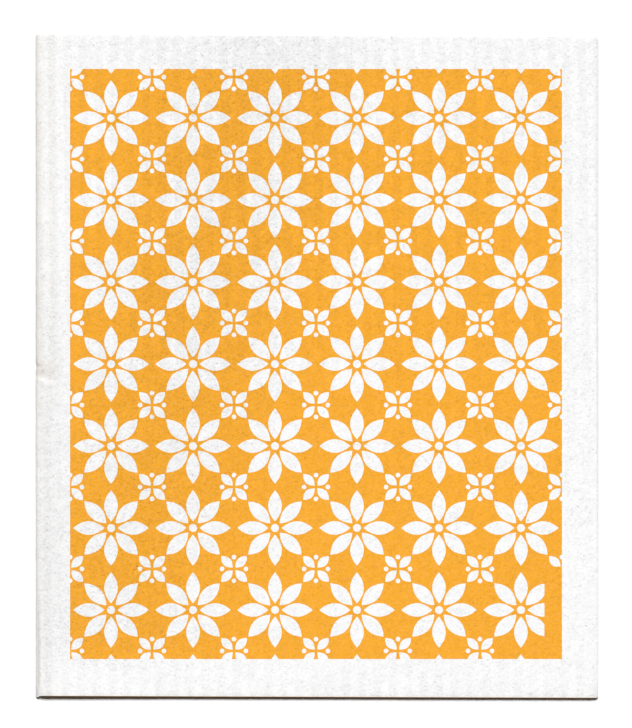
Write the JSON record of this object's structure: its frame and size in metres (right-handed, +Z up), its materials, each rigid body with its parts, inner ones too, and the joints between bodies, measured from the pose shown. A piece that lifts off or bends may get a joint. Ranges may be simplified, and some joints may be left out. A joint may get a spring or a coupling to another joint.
{
  "type": "sponge cloth",
  "caption": "Thin ribbed rectangular sponge cloth, printed on one face with a repeating floral pattern inside a plain white border.",
  "frame": {"origin": "under the middle of the cloth, on the surface that its ribs rest on", "axes": "+Z up out of the printed face, +Y along the long side towards the head of the print, +X to the right as the print is read"},
  "size_m": [0.17, 0.2, 0.002],
  "materials": {
    "sponge": "matt white cellulose sponge with an orange print on one face"
  },
  "bodies": {
    "root": {"sponge_cloth": "sponge"}
  },
  "joints": []
}
